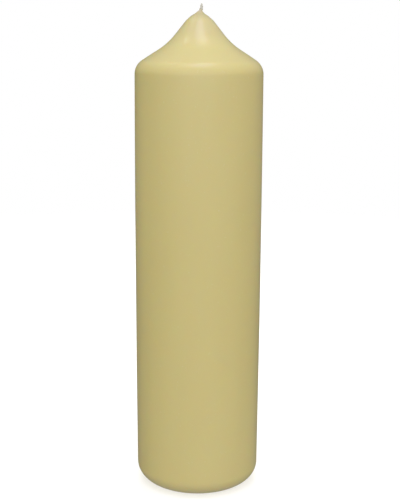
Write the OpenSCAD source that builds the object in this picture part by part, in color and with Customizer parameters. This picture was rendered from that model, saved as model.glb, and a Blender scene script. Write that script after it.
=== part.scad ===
// Pillar unity candle: a pressed wax body, an ivory overdipped skin drawn up to a point,
// and a primed three-strand wick held by a tinplate sustainer.
// Millimetres, +Z up. The origin is the middle of the flat base.
// The skin's outline is one chain of arcs and lines that meet tangentially. An angle of the
// chain is the lean of its direction of travel, from straight up towards the axis.

/* [Body] */
// Diameter of the finished candle
body_d = 70; // [66:1:76]
// Height at which the straight side ends and the shoulder begins
shoulder_z = 233; // [180:1:300]
// Radius of the rounded bottom edge
base_round = 9.5; // [5:0.5:10]
// Thickness of the overdipped skin on the side
skin_t = 1.5; // [1:0.1:2]
// Width of the ring on the base over which the skin is trimmed down to nothing
trim_w = 2.5; // [1.5:0.5:4]

/* [Drawn point] */
// Radius of the shoulder
shoulder_r = 8.7; // [6:0.1:11]
// Lean of the cone above the shoulder
cone_lean = 57.5; // [52:0.5:62]
// Radius of the hollow flare between the cone and the steeper tip
flare_r = 36.5; // [20:0.5:40]
// Lean of the steep tip
tip_lean = 38.5; // [32:0.5:44]
// Length of the steep tip along its slope
tip_len = 8.4; // [4:0.2:10]
// Radius of the blunt nose
nose_r = 14; // [8:0.5:16]
// Lean where the nose turns into the wax that climbs the wick
nose_lean = 64.5; // [58:0.5:68]
// Radius of the hollow climb of the wax onto the wick
climb_r = 3; // [2:0.2:4]

/* [Wick] */
// Diameter of the primed wick
wick_d = 2.2; // [2.2:0.1:2.4]
// Length of wick that stands out of the wax
stub_len = 3; // [2:0.5:12]
// Diameter of one cotton strand
strand_d = 0.52; // [0.4:0.02:0.52]
// Height over which a strand makes one full weave of the plait
plait_pitch = 10; // [8:0.5:12]
// Turn of the flat plait about the candle's axis
plait_turn = 20; // [0:5:90]
// Diameter of the wick channel through the core
channel_d = 3; // [3:0.1:3.4]

/* [Sustainer] */
// Diameter of the tinplate disc
disc_d = 20; // [16:1:26]
// Thickness of the tinplate
tin_t = 0.3; // [0.2:0.05:0.3]
// Height of the neck above the disc
neck_h = 6; // [4:0.5:10]
// Radius of the bend between the disc and the neck, on its upper side
neck_bend = 0.8; // [0.5:0.1:1]
// Depth of the pocket in the base
pocket_depth = 0.8; // [0.6:0.1:1.2]

/* [Hidden] */
$fn = 96;

core_colour = [0.90, 0.86, 0.68];
skin_colour = [0.84, 0.79, 0.55];
cotton_colour = [0.93, 0.91, 0.85];
wax_colour = [0.93, 0.92, 0.88];
tin_colour = [0.75, 0.76, 0.78];

body_r = body_d / 2;
wick_r = wick_d / 2;
channel_r = channel_d / 2;
disc_r = disc_d / 2;
// Largest turn between two points of an arc, in degrees
arc_step = 5;

// The cone takes up whatever the other stretches leave between the side and the wick.
cone_len = (body_r - wick_r - shoulder_r * (1 - cos(cone_lean))
            - flare_r * (cos(tip_lean) - cos(cone_lean)) - tip_len * sin(tip_lean)
            - nose_r * (cos(tip_lean) - cos(nose_lean)) - climb_r * (1 - cos(nose_lean)))
           / sin(cone_lean);

// Heights of the joins of the outline, going up
cone_z = shoulder_z + shoulder_r * sin(cone_lean);
flare_z = cone_z + cone_len * cos(cone_lean);
tip_z = flare_z + flare_r * (sin(cone_lean) - sin(tip_lean));
nose_z = tip_z + tip_len * cos(tip_lean);
climb_z = nose_z + nose_r * (sin(nose_lean) - sin(tip_lean));
wax_top = climb_z + climb_r * sin(nose_lean);
// Radii of the same joins
cone_r = body_r - shoulder_r * (1 - cos(cone_lean));
flare_start_r = cone_r - cone_len * sin(cone_lean);
tip_r = flare_start_r - flare_r * (cos(tip_lean) - cos(cone_lean));
nose_start_r = tip_r - tip_len * sin(tip_lean);

// Wick
wick_top = wax_top + stub_len;
wick_foot = pocket_depth + 0.2;
tip_cap = 0.9;
weave_x = 0.63;
weave_y = 0.32;
envelope_r = weave_x + strand_d / 2 + 0.02;
rings_per_pitch = 10;
strand_sides = 6;

// Sustainer
disc_z = pocket_depth - tin_t;
pocket_gap = 0.2;
neck_r = wick_r + tin_t;
bend_r = neck_r + neck_bend;
bend_z = pocket_depth + neck_bend;
neck_top = pocket_depth + neck_h;
relief = channel_r - neck_r;

// Points of an arc about a centre, from one angle to another, both ends included.
function arc_points(centre, r, from, to) =
    let (n = max(2, ceil(abs(to - from) / arc_step)))
    [for (i = [0:n]) let (a = from + (to - from) * i / n)
        centre + r * [cos(a), sin(a)]];

// The outline from the rounded bottom edge to the end of the steep tip, moved inwards by t.
// Moving it inwards takes t off each convex radius and adds it to the hollow one.
function side_outline(t) = concat(
    arc_points([body_r - base_round, base_round], base_round - t, -90, 0),
    arc_points([body_r - shoulder_r, shoulder_z], shoulder_r - t, 0, cone_lean),
    arc_points([flare_start_r, flare_z] + flare_r * [cos(cone_lean), sin(cone_lean)],
               flare_r + t, 180 + cone_lean, 180 + tip_lean),
    [[nose_start_r - t * cos(tip_lean), nose_z - t * sin(tip_lean)]]);

// The blunt nose and the climb of the wax onto the wick.
nose_outline = concat(
    arc_points([nose_start_r, nose_z] - nose_r * [cos(tip_lean), sin(tip_lean)],
               nose_r, tip_lean, nose_lean),
    arc_points([wick_r + climb_r, wax_top], climb_r, 180 + nose_lean, 180));

// A list of points without those that repeat the one before.
function without_repeats(points) =
    [for (i = [0:len(points) - 1]) if (i == 0 || norm(points[i] - points[i - 1]) > 0.001) points[i]];

core_outline = side_outline(skin_t);
core_top = core_outline[len(core_outline) - 1][1];
trim_r = body_r - base_round - trim_w;

module pressed_core() {
    color(core_colour)
    difference() {
        rotate_extrude()
            polygon(concat([[0, 0], [trim_r, 0]], core_outline, [[0, core_top]]));
        translate([0, 0, -1])
            cylinder(h = core_top + 2, r = channel_r);
        translate([0, 0, -1])
            cylinder(h = pocket_depth + 1, r = disc_r + pocket_gap);
        // Countersink that clears the bend of the sustainer
        translate([0, 0, pocket_depth - 0.01])
            cylinder(h = neck_bend + 0.01, r1 = bend_r + relief, r2 = channel_r);
    }
}

module overdip_skin() {
    color(skin_colour)
    rotate_extrude()
        polygon(without_repeats(concat(
            [[trim_r, 0]],
            side_outline(0),
            nose_outline,
            [[wick_r, core_top]],
            [for (i = [len(core_outline) - 1:-1:0]) core_outline[i]])));
}

// Middle of a strand of the flat plait, at height z.
function weave(z, phase) =
    let (a = 360 * z / plait_pitch + phase)
    [weave_x * sin(a), weave_y * sin(2 * a), z];

module plait_strand(phase) {
    foot = wick_foot;
    top = wick_top - tip_cap;
    n = ceil((top - foot) * rings_per_pitch / plait_pitch);
    s = strand_sides;
    points = [for (i = [0:n]) let (middle = weave(foot + (top - foot) * i / n, phase))
        for (k = [0:s - 1]) middle + strand_d / 2 * [cos(360 * k / s), sin(360 * k / s), 0]];
    sides = [for (i = [0:n - 1]) for (k = [0:s - 1])
        let (a = i * s + k, b = i * s + (k + 1) % s)
        each [[a, a + s, b], [b, a + s, b + s]]];
    foot_face = [for (k = [0:s - 1]) k];
    top_face = [for (k = [s - 1:-1:0]) n * s + k];
    color(cotton_colour)
    rotate([0, 0, plait_turn])
        polyhedron(points = points, faces = concat(sides, [foot_face, top_face]));
}

module wick_wax() {
    edge = 0.6;
    color(wax_colour)
    rotate_extrude()
        polygon(concat(
            [[envelope_r, wick_foot], [wick_r, wick_foot]],
            arc_points([wick_r - edge, wick_top - edge], edge, 0, 90),
            [[0, wick_top], [0, wick_top - tip_cap], [envelope_r, wick_top - tip_cap]]));
}

module wick_sustainer() {
    color(tin_colour)
    rotate_extrude()
        polygon(concat(
            [[disc_r, disc_z]],
            arc_points([bend_r, bend_z], neck_bend + tin_t, 270, 180),
            [[wick_r, neck_top], [neck_r, neck_top]],
            arc_points([bend_r, bend_z], neck_bend, 180, 270),
            [[disc_r, pocket_depth]]));
}

pressed_core();
overdip_skin();
plait_strand(0);  // wick_strand_1
plait_strand(120);  // wick_strand_2
plait_strand(240);  // wick_strand_3
wick_wax();
wick_sustainer();
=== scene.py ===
"""Ivory pillar unity candle: overdipped skin, pressed core, waxed wick and tinplate sustainer.

All lengths are in metres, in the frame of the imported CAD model: the origin is the middle of the
flat base and +Z is up. The skin's outline repeats the chain of arcs and lines of the CAD model,
with the same driving dimensions, and the natural unevenness of a dipped candle is added to it.
"""

import math

import bpy
import numpy as np
from mathutils import Matrix, Vector

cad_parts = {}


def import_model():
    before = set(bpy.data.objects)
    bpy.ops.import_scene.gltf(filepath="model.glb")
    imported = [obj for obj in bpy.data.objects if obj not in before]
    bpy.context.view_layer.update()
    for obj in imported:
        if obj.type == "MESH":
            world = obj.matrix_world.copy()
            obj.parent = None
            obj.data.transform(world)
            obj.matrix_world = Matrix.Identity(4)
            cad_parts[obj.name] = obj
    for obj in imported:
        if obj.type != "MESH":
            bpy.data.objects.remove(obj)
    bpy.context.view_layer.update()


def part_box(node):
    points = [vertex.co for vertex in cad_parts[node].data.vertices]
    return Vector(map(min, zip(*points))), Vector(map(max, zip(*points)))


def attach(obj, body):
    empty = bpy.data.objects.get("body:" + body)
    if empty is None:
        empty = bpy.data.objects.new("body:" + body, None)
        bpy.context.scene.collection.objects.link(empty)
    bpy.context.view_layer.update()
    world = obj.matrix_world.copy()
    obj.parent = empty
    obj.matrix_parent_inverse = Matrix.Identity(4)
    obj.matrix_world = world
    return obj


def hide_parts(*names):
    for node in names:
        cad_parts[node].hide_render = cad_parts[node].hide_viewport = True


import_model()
MM = 0.001


# ---------------------------------------------------------------- driving dimensions
BODY_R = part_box("overdip_skin")[1].x
WAX_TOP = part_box("overdip_skin")[1].z
WICK_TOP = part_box("wick_wax")[1].z
WICK_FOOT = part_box("wick_wax")[0].z
WICK_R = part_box("wick_wax")[1].x
CORE_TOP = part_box("pressed_core")[1].z
DISC_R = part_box("wick_sustainer")[1].x
DISC_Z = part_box("wick_sustainer")[0].z
NECK_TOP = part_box("wick_sustainer")[1].z

# Outline of the wax, as in the CAD model
SHOULDER_Z = 233 * MM
SHOULDER_R = 8.7 * MM
BASE_ROUND = 9.5 * MM
SKIN_T = 1.5 * MM
TRIM_W = 2.5 * MM
TRIM_R = BODY_R - BASE_ROUND - TRIM_W
CONE_LEAN = math.radians(57.5)
FLARE_R = 36.5 * MM
TIP_LEAN = math.radians(38.5)
TIP_LEN = 8.4 * MM
NOSE_R = 14 * MM
NOSE_LEAN = math.radians(64.5)
CLIMB_R = 3 * MM

# Unevenness of a dipped candle
BELLY = 0.28 * MM  # how far the side swells at its middle
UNEVEN = 0.10 * MM  # slow change in the thickness of the skin
DRAIN_MARKS = 0.045 * MM  # depth of the long marks that draining wax leaves
POINT_FULL = 0.45 * MM  # how much fuller the drawn point is on its right
HEEL_FULL = 0.85 * MM  # how much fuller the wax at the foot of the stub is on its left
RIM_RISE = 0.9 * MM  # how much further the rim climbs the wick on its left
RIM_RAGGED = 0.10 * MM
TRIM_RAGGED = 0.35 * MM
PIT_DEPTH = 0.16 * MM  # pits between the granules of the base

# Sustainer, with its pocket and the wick's channel
TIN_T = 0.3 * MM
NECK_BEND = 0.8 * MM
POCKET_GAP = 0.2 * MM
CHANNEL_R = 1.5 * MM
POCKET_DEPTH = DISC_Z + TIN_T
RING_R = 6.2 * MM  # middle of the ring pressed into the disc
RING_HALF = 0.8 * MM
RING_DEPTH = 0.22 * MM

# Wick
STRAND_R = 0.26 * MM
WEAVE_X = 0.63 * MM
WEAVE_Y = 0.32 * MM
PLAIT_PITCH = 4.2 * MM
PLAIT_TURN = math.radians(20)
PINCH = 0.42  # narrowing of the plait at its cut end
PLIES = 5  # plies twisted together in a strand
PLY_PITCH = 2.4 * MM
WAX_COAT = 0.04 * MM  # wax over a strand
WAX_FILL = 0.60 * MM  # radius that the wax fills in the middle of the plait
WAX_SOFTNESS = 0.06 * MM  # how gently the wax runs from one strand to the next
WICK_CAP = 0.9 * MM  # length of the rounded tip of the wax
WICK_LEAN = 1.2 * MM  # how far the tip of the wick stands off the axis, towards +X


# ---------------------------------------------------------------- smooth unevenness
def smooth(x, low, high):
    """0 below low, 1 above high, and an S between them."""
    s = np.clip((x - low) / (high - low), 0, 1)
    return s * s * (3 - 2 * s)


class Waves:
    """Smooth, repeatable noise: a sum of plane waves, with a typical length along each axis."""

    def __init__(self, seed, lengths, count=24):
        rng = np.random.default_rng(seed)
        direction = rng.normal(size=(count, 3))
        self.k = direction * (2 * math.pi / np.array(lengths)) * 0.6
        self.phase = rng.uniform(0, 2 * math.pi, count)

    def __call__(self, x, y, z):
        total = 0
        for (kx, ky, kz), phase in zip(self.k, self.phase):
            total = total + np.sin(kx * x + ky * y + kz * z + phase)
        return total / math.sqrt(len(self.phase) / 2) / 2


BODY_WAVES = Waves(3, (30 * MM, 30 * MM, 160 * MM))
DRAIN_WAVES = Waves(5, (11 * MM, 11 * MM, 90 * MM))
TRIM_WAVES = Waves(7, (9 * MM, 9 * MM, 9 * MM))
CLIMB_WAVES = Waves(11, (1.6 * MM, 1.6 * MM, 3 * MM))


def tip_lean(z):
    """How far the wick and the wax round it stand off the axis, towards +X, at height z."""
    return WICK_LEAN * smooth(z, WAX_TOP - 7 * MM, WICK_TOP - WICK_CAP)


# ---------------------------------------------------------------- outline of the wax
def arc(centre, radius, start, end, count):
    """Points of an arc about centre, both ends included."""
    angle = np.linspace(start, end, count + 1)
    return np.stack([centre[0] + radius * np.cos(angle),
                     centre[1] + radius * np.sin(angle)], axis=1)


def line(start, end, count):
    return np.linspace(start, end, count + 1)


def wax_outline(inset):
    """The stretches of the wax's outline, from the foot to the steep tip, moved inwards."""
    cone_sin, cone_cos = math.sin(CONE_LEAN), math.cos(CONE_LEAN)
    tip_sin, tip_cos = math.sin(TIP_LEAN), math.cos(TIP_LEAN)
    travel = (SHOULDER_R * (1 - cone_cos) + FLARE_R * (tip_cos - cone_cos) + TIP_LEN * tip_sin
              + NOSE_R * (tip_cos - math.cos(NOSE_LEAN)) + CLIMB_R * (1 - math.cos(NOSE_LEAN)))
    cone_len = (BODY_R - WICK_R - travel) / cone_sin
    cone_end = np.array([BODY_R - SHOULDER_R * (1 - cone_cos) - cone_len * cone_sin,
                         SHOULDER_Z + SHOULDER_R * cone_sin + cone_len * cone_cos])
    foot = arc((BODY_R - BASE_ROUND, BASE_ROUND), BASE_ROUND - inset, -math.pi / 2, 0, 22)
    shoulder = arc((BODY_R - SHOULDER_R, SHOULDER_Z), SHOULDER_R - inset, 0, CONE_LEAN, 18)
    flare_centre = cone_end + FLARE_R * np.array([cone_cos, cone_sin])
    flare = arc(flare_centre, FLARE_R + inset, math.pi + CONE_LEAN, math.pi + TIP_LEAN, 14)
    tip_end = flare[-1] + TIP_LEN * np.array([-tip_sin, tip_cos])
    return {"foot": foot, "side": line(foot[-1], shoulder[0], 96), "shoulder": shoulder,
            "cone": line(shoulder[-1], flare[0], 12), "flare": flare,
            "tip": line(flare[-1], tip_end, 12)}


def joined(*stretches):
    """One run of points, without the point that two stretches share."""
    points = [stretches[0]]
    for stretch in stretches[1:]:
        points.append(stretch[1:] if np.allclose(stretch[0], points[-1][-1], atol=1e-7) else stretch)
    return np.concatenate(points)


# ---------------------------------------------------------------- wick geometry
def slimness(z):
    """How much of its full width the plait keeps at height z."""
    return 1 - PINCH * smooth(z, WICK_TOP - 2.6 * MM, WICK_TOP)


def strand_middle(z, strand):
    """Middle of a strand of the flat plait, seen from above, at height z."""
    angle = 2 * math.pi * (z / PLAIT_PITCH + strand / 3)
    x = slimness(z) * WEAVE_X * np.sin(angle)
    y = slimness(z) * WEAVE_Y * np.sin(2 * angle)
    return (x * math.cos(PLAIT_TURN) - y * math.sin(PLAIT_TURN),
            x * math.sin(PLAIT_TURN) + y * math.cos(PLAIT_TURN))


def wick_surface(turn, z):
    """Radius of the waxed plait about its own middle, in direction turn, at height z.

    It is a soft maximum of the wax in the middle and the coats of the three strands.
    """
    reach = slimness(z) * (STRAND_R + WAX_COAT)
    edge_fade = 0.15 * MM
    total = np.exp(slimness(z) * WAX_FILL / WAX_SOFTNESS)
    for strand in range(3):
        cx, cy = strand_middle(z, strand)
        along = cx * np.cos(turn) + cy * np.sin(turn)
        across = cy * np.cos(turn) - cx * np.sin(turn)
        hit = along + np.sqrt(np.maximum(reach ** 2 - across ** 2, 0))
        near = np.exp(-(np.maximum(np.abs(across) - reach * 0.8, 0) / edge_fade) ** 2)
        total = total + near * np.exp(hit / WAX_SOFTNESS)
    return np.minimum(WAX_SOFTNESS * np.log(total), WICK_R - 0.03 * MM)


# ---------------------------------------------------------------- mesh helpers
def full_turn(count):
    """Directions evenly spread all the way round, as one row."""
    return np.linspace(0, 2 * math.pi, count, endpoint=False)[None, :]


TURN = full_turn(240)


def swept(radius, z, turn=TURN, lean=0):
    """A grid of points round the axis at these radii and heights, moved towards +X by lean."""
    x, y = radius * np.cos(turn) + lean, radius * np.sin(turn)
    return np.stack(np.broadcast_arrays(x, y, z + 0 * turn), axis=-1)


def grid_mesh(name, points, closed_rows=False, caps=()):
    """A piece from a grid of points [row, column, xyz] whose columns go round.

    closed_rows joins the last row to the first. caps are "first" and "last", the open ends.
    """
    rows, columns = points.shape[:2]
    index = np.arange(rows * columns).reshape(rows, columns)
    nxt = np.roll(index, -1, axis=1)
    above, above_nxt = np.roll(index, -1, axis=0), np.roll(nxt, -1, axis=0)
    kept = slice(None) if closed_rows else slice(-1)
    faces = np.stack([index[kept], nxt[kept], above_nxt[kept], above[kept]], axis=-1)
    faces = faces.reshape(-1, 4).tolist()
    if "first" in caps:
        faces.append(index[0][::-1].tolist())
    if "last" in caps:
        faces.append(index[-1].tolist())
    mesh = bpy.data.meshes.new(name)
    mesh.from_pydata(points.reshape(-1, 3).tolist(), [], faces)
    mesh.validate()
    mesh.shade_smooth()
    piece = bpy.data.objects.new(name, mesh)
    bpy.context.scene.collection.objects.link(piece)
    return piece


def add_piece(piece, material, slot, *nodes):
    """Gives a piece its material and its body, and hides the CAD nodes that it stands for. slot is
    not used.
    """
    piece.data.materials.append(material)
    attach(piece, "root")
    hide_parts(*nodes)


# ---------------------------------------------------------------- material helpers
class Nodes:
    """A node tree, with short ways to add nodes and link them."""

    def __init__(self, tree):
        self.tree = tree

    def put(self, socket, value):
        """Links another node's output to a socket, or sets the socket to a constant."""
        if isinstance(value, bpy.types.NodeSocket):
            self.tree.links.new(value, socket)
        else:
            socket.default_value = value

    def add(self, kind, inputs=(), **settings):
        """A new node. inputs maps the names or numbers of sockets to outputs or constants."""
        node = self.tree.nodes.new(kind)
        for key, value in settings.items():
            setattr(node, key, value)
        for socket, value in dict(inputs).items():
            self.put(node.inputs[socket], value)
        return node

    def ranged(self, value, low, high, to_low, to_high):
        """value moved from the range low to high onto the range to_low to to_high."""
        return self.add("ShaderNodeMapRange", {"Value": value, "From Min": low, "From Max": high,
                                               "To Min": to_low, "To Max": to_high}).outputs[0]

    def maths(self, operation, a, b):
        return self.add("ShaderNodeMath", {0: a, 1: b}, operation=operation).outputs[0]


class Shader(Nodes):
    """A node material around one Principled BSDF."""

    def __init__(self, name, **constants):
        self.material = bpy.data.materials.new(name)
        self.material.use_nodes = True
        super().__init__(self.material.node_tree)
        self.principled = self.tree.nodes["Principled BSDF"]
        self.coords = self.add("ShaderNodeTexCoord").outputs["Object"]
        self.feed(**constants)

    def noise(self, size, detail=2, stretch=(1, 1, 1)):
        """Noise with features of about this size in metres, from 0 to 1."""
        place = self.add("ShaderNodeMapping", {"Vector": self.coords, "Scale": stretch})
        return self.add("ShaderNodeTexNoise", {"Vector": place.outputs[0], "Scale": 1 / size,
                                               "Detail": detail}).outputs["Fac"]

    def mixed(self, factor, a, b):
        """A colour between a and b, each a colour or another node's output."""
        a, b = ((*c, 1) if isinstance(c, tuple) else c for c in (a, b))
        return self.add("ShaderNodeMix", {0: factor, 6: a, 7: b}, data_type="RGBA").outputs[2]

    def bump(self, height, depth, base=None):
        """Relief of this depth in metres, over an earlier one where there is one."""
        earlier = {} if base is None else {"Normal": base}
        return self.add("ShaderNodeBump", {"Height": height, "Distance": depth, "Strength": 1.0,
                                           **earlier}).outputs[0]

    def feed(self, **sources):
        """Puts outputs or constants on the Principled BSDF, and gives back the material."""
        for socket, source in sources.items():
            self.put(self.principled.inputs[socket.replace("_", " ")], source)
        return self.material


# ---------------------------------------------------------------- materials
WAX_IOR = 1.44


def ivory_skin():
    """Hard satin wax: ivory in faint clouds with a light orange peel, a painted sheen on the point
    and painted shade by the wick.
    """
    s = Shader("ivory_skin", IOR=WAX_IOR, Subsurface_Weight=0.6,
               Subsurface_Radius=(1.0, 0.62, 0.28), Subsurface_Scale=1.2 * MM,
               Coat_Weight=0.7, Coat_Roughness=0.2, Coat_IOR=1.45)
    clouds = s.ranged(s.noise(45 * MM, detail=3, stretch=(1, 1, 0.4)), 0.3, 0.7, 0, 1)
    colour = s.mixed(clouds, (0.785, 0.684, 0.303), (0.805, 0.704, 0.321))
    specks = s.ranged(s.noise(1.1 * MM), 0.66, 0.76, 0, 0.35)
    colour = s.mixed(specks, colour, (0.86, 0.79, 0.50))
    height = s.add("ShaderNodeSeparateXYZ", {"Vector": s.coords}).outputs["Z"]
    # Painted sheen: from about 20 mm below the top upwards the wax is given a greyer, less yellow
    # ivory that stands in for the soft whitish sheen on the drawn point.
    painted_point_sheen = s.ranged(height, WAX_TOP - 20 * MM, WAX_TOP - 11 * MM, 0, 0.9)
    colour = s.mixed(painted_point_sheen, colour, (0.762, 0.668, 0.345))
    # Painted shade: the upper nose and the foot of the wax climbing the wick are darkened, standing
    # in for the shade in the hollow round the wick's stub.
    painted_stub_shade = s.ranged(height, WAX_TOP - 5.5 * MM, WAX_TOP - 2.2 * MM, 0, 1)
    colour = s.mixed(painted_stub_shade, colour, (0.65, 0.57, 0.30))
    film = s.ranged(height, WAX_TOP - 2.0 * MM, WAX_TOP - 0.8 * MM, 0, 1)
    colour = s.mixed(film, colour, (0.655, 0.592, 0.41))
    rough = s.ranged(s.noise(22 * MM, detail=4, stretch=(1, 1, 0.35)), 0.3, 0.7, 0.40, 0.52)
    relief = s.bump(s.noise(2.4 * MM), 0.02 * MM)
    relief = s.bump(s.noise(10 * MM, detail=1, stretch=(1, 1, 0.25)), 0.08 * MM, relief)
    return s.feed(Base_Color=colour, Roughness=rough, Normal=relief)


def core_wax():
    """Pressed wax granules: pale cells with darker joints between them."""
    s = Shader("core_wax", IOR=WAX_IOR, Subsurface_Weight=0.5, Subsurface_Radius=(1.0, 0.7, 0.4),
               Subsurface_Scale=0.8 * MM)
    granules = {"Vector": s.coords, "Scale": 900}
    cells = s.add("ShaderNodeTexVoronoi", granules)
    joints = s.add("ShaderNodeTexVoronoi", granules, feature="DISTANCE_TO_EDGE")
    joint = s.ranged(joints.outputs["Distance"], 0.0, 0.12, 0, 1)
    tone = s.ranged(cells.outputs["Distance"], 0, 0.7, 0, 1)
    colour = s.mixed(tone, (0.87, 0.79, 0.52), (0.80, 0.71, 0.43))
    colour = s.mixed(joint, (0.73, 0.64, 0.38), colour)
    rough = s.ranged(s.noise(4 * MM, detail=3), 0.3, 0.7, 0.5, 0.72)
    relief = s.bump(joint, 0.04 * MM)
    return s.feed(Base_Color=colour, Roughness=rough, Normal=relief)


def wick_cotton():
    """Bleached cotton: fine fibres along the strands."""
    s = Shader("wick_cotton", Sheen_Weight=0.3, Sheen_Roughness=0.5)
    fibres = s.noise(0.12 * MM, detail=3, stretch=(1, 1, 0.3))
    colour = s.mixed(fibres, (0.74, 0.70, 0.60), (0.90, 0.88, 0.81))
    relief = s.bump(fibres, 0.03 * MM)
    rough = s.ranged(fibres, 0.3, 0.7, 0.75, 0.95)
    return s.feed(Base_Color=colour, Roughness=rough, Normal=relief)


def priming_wax():
    """Clear-white wax that has soaked the plait and set round it."""
    s = Shader("priming_wax", IOR=WAX_IOR, Alpha=0.6, Coat_Weight=0.2, Coat_Roughness=0.2)
    drift = s.noise(0.8 * MM)
    colour = s.mixed(drift, (0.86, 0.84, 0.76), (0.93, 0.92, 0.87))
    rough = s.ranged(drift, 0.3, 0.7, 0.28, 0.45)
    relief = s.bump(s.noise(0.3 * MM), 0.02 * MM)
    return s.feed(Base_Color=colour, Roughness=rough, Normal=relief)


def tinplate():
    """Bright stamped tinplate with rolling lines and a little wax haze."""
    s = Shader("tinplate", Metallic=1.0)
    rolling = s.noise(0.6 * MM, detail=3, stretch=(1, 0.03, 1))
    haze = s.ranged(s.noise(6 * MM, detail=3), 0.45, 0.7, 0, 1)
    colour = s.mixed(haze, (0.74, 0.74, 0.72), (0.60, 0.58, 0.52))
    rough = s.maths("ADD", s.ranged(haze, 0, 1, 0.24, 0.48),
                    s.ranged(rolling, 0.3, 0.7, -0.04, 0.06))
    relief = s.bump(rolling, 0.01 * MM)
    return s.feed(Base_Color=colour, Roughness=rough, Normal=relief)


# ---------------------------------------------------------------- pieces
def trim_edge():
    """Radius of the ragged line on the base where the skin was trimmed, for each column."""
    return TRIM_R + TRIM_RAGGED * TRIM_WAVES(TRIM_R * np.cos(TURN), TRIM_R * np.sin(TURN), 0.0)


def core_face():
    """The face where skin and core meet, from the tip down to the base."""
    core = wax_outline(SKIN_T)
    outline = joined(core["foot"], core["side"][::6], core["shoulder"], core["cone"],
                     core["flare"], core["tip"])[::-1]
    return swept(outline[:, :1], outline[:, 1:])


def skin_piece():
    """The dipped skin as one closed shell: outside, hole for the wick and inner face."""
    out = wax_outline(0)
    nose_start = out["tip"][-1]
    nose_centre = nose_start - NOSE_R * np.array([math.cos(TIP_LEAN), math.sin(TIP_LEAN)])
    nose = arc(nose_centre, NOSE_R, TIP_LEAN, NOSE_LEAN, 16)
    climb = arc((WICK_R + CLIMB_R, WAX_TOP), CLIMB_R, math.pi + NOSE_LEAN, math.pi, 18)
    outside = joined(*out.values(), nose, climb)
    r, z = outside[:, :1], outside[:, 1:]
    x, y = r * np.cos(TURN), r * np.sin(TURN)

    # A slight belly, uneven thickness and long drain marks, all fading out towards foot and tip
    up = np.clip((z - BASE_ROUND) / (SHOULDER_Z - BASE_ROUND), 0, 1)
    belly = BELLY * 4 * up * (1 - up)
    low_fade = smooth(z, 1 * MM, 14 * MM)
    fade = low_fade * (1 - smooth(z, SHOULDER_Z - 4 * MM, WAX_TOP - 6 * MM) * 0.8)
    uneven = fade * (UNEVEN * BODY_WAVES(x, y, z) + DRAIN_MARKS * DRAIN_WAVES(x, y, z))
    radius = r + (belly + uneven) * smooth(r, 2 * MM, 8 * MM)

    # The drawn point is fuller on its right, and the wax at the foot of the stub on its left
    right, left = 0.5 + 0.5 * np.cos(TURN), 0.5 - 0.5 * np.cos(TURN)
    full = smooth(z, SHOULDER_Z + 5 * MM, SHOULDER_Z + 10 * MM)
    full = full * (1 - smooth(z, nose_start[1], WAX_TOP - 4 * MM))
    heel = smooth(z, WAX_TOP - 5.5 * MM, WAX_TOP - 2 * MM)
    heel = heel * (1 - smooth(z, WAX_TOP - 1.6 * MM, WAX_TOP + 0.6 * MM))
    radius = radius + POINT_FULL * full * right + HEEL_FULL * heel * left ** 2

    # The wax ends on the waxed plait, at an uneven height that is greater on its left
    hug = smooth(z, WAX_TOP - 2.2 * MM, WAX_TOP)
    height = z + hug * (RIM_RISE * (left - 0.5) + RIM_RAGGED * CLIMB_WAVES(x, y, 0 * z))
    plait = wick_surface(TURN, height) + 0.015 * MM
    radius = radius * (1 - hug) + plait * hug
    outer = swept(radius, height, lean=tip_lean(height))

    # Under its rim the wax runs in between the strands, and below that it lies round the plait
    mouth_z = height[-1:] - np.linspace(0.05, 1.7, 8)[:, None] * MM
    neck_z = np.linspace(WAX_TOP - 2.8 * MM, CORE_TOP, 12)[:, None] + 0 * TURN
    hole_z = np.concatenate([mouth_z, neck_z])
    soaked = np.where(np.arange(len(hole_z)) < len(mouth_z), 0.45, 1.0)[:, None]
    hole_r = soaked * wick_surface(TURN, hole_z) + 0.004 * MM
    hole = swept(hole_r, hole_z, lean=tip_lean(hole_z))

    points = np.concatenate([swept(trim_edge(), 0), outer, hole, core_face()])
    piece = grid_mesh("ivory_skin", points, closed_rows=True)
    add_piece(piece, ivory_skin(), "ivory_skin", "overdip_skin")


def core_piece():
    """The pressed core, with its granular base, sustainer pocket and wick channel."""
    edge = trim_edge()
    pocket_r = DISC_R + POCKET_GAP
    spread = np.linspace(0, 1, 64)[:, None]
    base_r = edge + (pocket_r - edge) * spread
    bx, by = base_r * np.cos(TURN), base_r * np.sin(TURN)
    flat_edge = smooth(spread, 0, 0.05) * (1 - smooth(spread, 0.97, 1))
    pits = np.maximum(0, Waves(21, (1.3 * MM,) * 3, 60)(bx, by, 0.0) - 0.25)
    base = swept(base_r, PIT_DEPTH * pits * flat_edge)

    # The pocket, the countersink and the channel, up to the top
    countersink_r = TIN_T + WICK_R + NECK_BEND + 0.1 * MM
    inside = [(pocket_r, 0.3 * MM), (pocket_r, POCKET_DEPTH), (pocket_r - 2 * MM, POCKET_DEPTH),
              (countersink_r, POCKET_DEPTH), (CHANNEL_R, POCKET_DEPTH + NECK_BEND),
              (CHANNEL_R, CORE_TOP / 3), (CHANNEL_R, CORE_TOP * 2 / 3), (CHANNEL_R, CORE_TOP)]
    hidden = [swept(radius, z) for radius, z in inside]
    points = np.concatenate([base, *hidden, core_face()])
    piece = grid_mesh("granular_core", points[::-1], closed_rows=True)
    add_piece(piece, core_wax(), "core_wax", "pressed_core")


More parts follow.
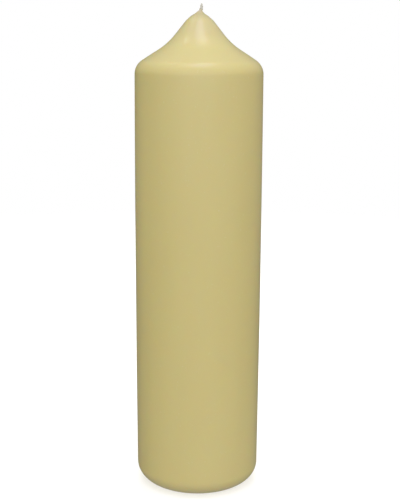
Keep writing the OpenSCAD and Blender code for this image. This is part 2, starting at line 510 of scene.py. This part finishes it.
def strand_piece(number, material):
    """One cotton strand of the plait: a bent tube with its twisted plies as lobes."""
    foot, top = WICK_FOOT + 0.1 * MM, WICK_TOP - 0.3 * MM
    z = np.linspace(foot, top, int((top - foot) / (0.2 * MM)))
    x, y = strand_middle(z, number)
    middle = np.stack([x + tip_lean(z), y, z], axis=-1)
    along = np.gradient(middle, z, axis=0)
    along /= np.linalg.norm(along, axis=1, keepdims=True)
    out = np.cross(along, np.array([0.0, 1.0, 0.0]))
    out /= np.linalg.norm(out, axis=1, keepdims=True)
    across = np.cross(along, out)
    around = full_turn(20)
    height = z[:, None]
    twist = 2 * math.pi * height / PLY_PITCH
    radius = slimness(height) * STRAND_R * (0.93 + 0.07 * np.cos(PLIES * (around - twist)))
    radius = radius * np.sqrt(np.clip((top - height) / (0.25 * MM), 0.05, 1))
    points = (middle[:, None, :] + (radius * np.cos(around))[..., None] * out[:, None, :]
              + (radius * np.sin(around))[..., None] * across[:, None, :])
    piece = grid_mesh(f"cotton_strand_{number + 1}", points, caps=("first", "last"))
    add_piece(piece, material, "wick_cotton", f"wick_strand_{number + 1}")


def wick_wax_piece():
    """The priming wax round the plait, with a rounded, uneven tip."""
    turn = full_turn(56)
    shown = WAX_TOP - 3 * MM
    cap_z = WICK_TOP - WICK_CAP
    hidden = np.linspace(WICK_FOOT, shown, 640, endpoint=False)
    stub = np.linspace(shown, cap_z, 56, endpoint=False)
    bow = np.linspace(0, math.pi / 2 - 0.08, 14)
    z = np.concatenate([hidden, stub, cap_z + WICK_CAP * np.sin(bow)])[:, None]
    closing = np.concatenate([np.ones(len(hidden) + len(stub)), np.cos(bow) ** 0.6])[:, None]
    radius = wick_surface(turn, z) * closing
    points = swept(radius, z, turn, tip_lean(z))
    piece = grid_mesh("priming_coat", points, caps=("first", "last"))
    add_piece(piece, priming_wax(), "priming_wax", "wick_wax")


def sustainer_piece():
    """The stamped tinplate disc with its pressed ring, drawn neck and eased rim."""
    neck_r = WICK_R + TIN_T
    bend_centre = (neck_r + NECK_BEND, POCKET_DEPTH + NECK_BEND)
    ease_r, ease_z = 0.05 * MM, 0.06 * MM

    def sheet_line(start, end, z):
        """One face of the disc, which dips at the pressed ring."""
        r = np.linspace(start, end, 40)
        across = np.clip((r - RING_R) / RING_HALF, -1, 1)
        dip = RING_DEPTH * np.maximum(0, np.cos(across * math.pi / 2)) ** 2
        return np.stack([r, z - dip], axis=1)

    under = joined(sheet_line(DISC_R - ease_r, bend_centre[0], DISC_Z),
                   arc(bend_centre, NECK_BEND + TIN_T, 1.5 * math.pi, math.pi, 10),
                   line((WICK_R, bend_centre[1]), (WICK_R, NECK_TOP), 8))
    over = joined(line((neck_r, NECK_TOP), (neck_r, bend_centre[1]), 8),
                  arc(bend_centre, NECK_BEND, math.pi, 1.5 * math.pi, 10),
                  sheet_line(bend_centre[0], DISC_R - ease_r, POCKET_DEPTH))
    rim = np.array([[DISC_R, POCKET_DEPTH - ease_z], [DISC_R, DISC_Z + ease_z]])
    outline = np.concatenate([under, over, rim])
    points = swept(outline[:, :1], outline[:, 1:], full_turn(96))
    piece = grid_mesh("tin_sustainer", points[::-1], closed_rows=True)
    add_piece(piece, tinplate(), "tinplate", "wick_sustainer")


skin_piece()
core_piece()
cotton = wick_cotton()
for strand in range(3):
    strand_piece(strand, cotton)
wick_wax_piece()
sustainer_piece()

# ---------------------------------------------------------------- floor, light and camera
FLOOR_HOLE_R = TRIM_R - 1 * MM
FLOOR_SOLID_R = 0.20
FLOOR_R = 0.9
FLOOR_DROP = 0.1 * MM  # how far the floor lies under the base, so that the two don't fight
BELOW_HORIZON = 0.2  # strength of the room well below the horizon, where it is 1 above

# Where the room's light comes from, and its colour times its strength
LOBES = [((0, -1, 0), (1.055, 1.055, 1.055)),  # front
         ((1, 0, 0), (0.49, 0.45, 0.30)),  # right
         ((-1, 0, 0), (0.38, 0.35, 0.17)),  # left
         ((0, 0, 1), (0.42, 0.42, 0.42)),  # above
         ((0, 0, -1), (1.7, 1.6, 1.7))]  # below, thrown back by the table top


def floor_material():
    """Pale floor that fades out with distance. It is clear from below and under the base."""
    s = Shader("floor", Base_Color=(0.9, 0.9, 0.9, 1), Roughness=0.9, Specular_IOR_Level=0.1,
               Emission_Color=(1, 1, 1, 1), Emission_Strength=0.42)
    length = s.add("ShaderNodeVectorMath", {0: s.coords}, operation="LENGTH").outputs["Value"]
    far = s.ranged(length, FLOOR_SOLID_R, FLOOR_R, 0.7, 0)
    near = s.maths("GREATER_THAN", length, FLOOR_HOLE_R)
    front = s.maths("SUBTRACT", 1.0, s.add("ShaderNodeNewGeometry").outputs["Backfacing"])
    cover = s.maths("MULTIPLY", s.maths("MULTIPLY", far, near), front)
    return s.feed(Alpha=cover)


def floor():
    """A disc under the candle. It catches the contact shadow and throws no light back."""
    radius = np.array([0.001, 0.3, 0.8, FLOOR_R])[:, None]
    plane = grid_mesh("floor", swept(radius, -FLOOR_DROP, full_turn(96)), caps=("first",))
    plane.data.flip_normals()
    plane.data.materials.append(floor_material())
    plane.visible_diffuse = False
    plane.visible_glossy = False


def world(lobes):
    """A white room to the camera, and to the candle a soft room of broad cosine lobes of light.

    The room is dimmed below the horizon, as over a table top.
    """
    room = bpy.data.worlds.new("room")
    bpy.context.scene.world = room
    room.use_nodes = True
    n = Nodes(room.node_tree)
    toward = n.add("ShaderNodeTexCoord").outputs["Generated"]
    total = (0, 0, 0)
    for direction, colour in lobes:
        dot = n.add("ShaderNodeVectorMath", {0: toward, 1: direction}, operation="DOT_PRODUCT")
        lit = n.maths("MAXIMUM", dot.outputs["Value"], 0)
        total = n.add("ShaderNodeVectorMath", {0: lit, 1: colour, 2: total},
                      operation="MULTIPLY_ADD").outputs[0]
    up = n.add("ShaderNodeSeparateXYZ", {0: toward}).outputs["Z"]
    lights = n.tree.nodes["Background"]
    n.put(lights.inputs["Color"], total)
    n.put(lights.inputs["Strength"], n.ranged(up, -0.25, 0.1, BELOW_HORIZON, 1))
    white = n.add("ShaderNodeBackground", {"Color": (1, 1, 1, 1)})
    seen = n.add("ShaderNodeLightPath").outputs["Is Camera Ray"]
    pick = n.add("ShaderNodeMixShader", {0: seen, 1: lights.outputs[0], 2: white.outputs[0]})
    n.put(n.tree.nodes["World Output"].inputs["Surface"], pick.outputs[0])


def softbox(name, place, target, size, radiance, colour=(1, 1, 1), in_gloss=True,
            in_diffuse=True):
    """A rectangular soft light at place, facing target. The camera never sees it.

    in_gloss is whether it shows in reflections, and in_diffuse whether it lights matt surfaces.
    """
    light = bpy.data.lights.new(name, "AREA")
    light.shape = "RECTANGLE"
    light.size, light.size_y = size
    light.energy = math.pi * size[0] * size[1] * radiance
    light.color = colour
    lamp = bpy.data.objects.new(name, light)
    lamp.location = place
    lamp.rotation_mode = "QUATERNION"
    lamp.rotation_quaternion = (Vector(target) - Vector(place)).to_track_quat("-Z", "Y")
    lamp.visible_camera = False
    lamp.visible_glossy = in_gloss
    lamp.visible_diffuse = in_diffuse
    bpy.context.scene.collection.objects.link(lamp)


def camera():
    """The main view: a little above the shoulder, looking slightly down on the candle."""
    distance, height = 543 * MM, 252.3 * MM
    pitch, roll = math.radians(12.18), math.radians(0.29)
    side = 1.0 * MM
    data = bpy.data.cameras.new("camera")
    data.sensor_width = 36
    data.lens = 70.8
    data.clip_start, data.clip_end = 0.01, 20
    view = bpy.data.objects.new("camera", data)
    look = Matrix.Rotation(math.pi / 2 - pitch, 4, "X") @ Matrix.Rotation(roll, 4, "Z")
    view.matrix_world = Matrix.Translation((side, -distance, height)) @ look
    bpy.context.scene.collection.objects.link(view)
    bpy.context.scene.camera = view


floor()
world(LOBES)
softbox("front_top", place=(0, -0.26, 1.05), target=(0, 0, 0.22), size=(0.38, 0.38),
        radiance=1.7, colour=(0.85, 0.9, 1.6))
softbox("overhead", place=(0.09, -0.015, 1.08), target=(0, 0, 0.24), size=(0.22, 0.26),
        radiance=2.8)
softbox("left_top", place=(-0.40, 0.176, 1.08), target=(0, 0, 0.24), size=(0.16, 0.18),
        radiance=2.9)
softbox("back", place=(0, 1.2, 0.5), target=(0, 0, 0.13), size=(0.6, 0.6), radiance=8.0,
        in_gloss=False)
softbox("window", place=(0, -1.2, 0.355), target=(0, 0, 0.25), size=(1.3, 0.3), radiance=1.0,
        in_diffuse=False)
camera()
bpy.context.scene.view_settings.view_transform = "Standard"
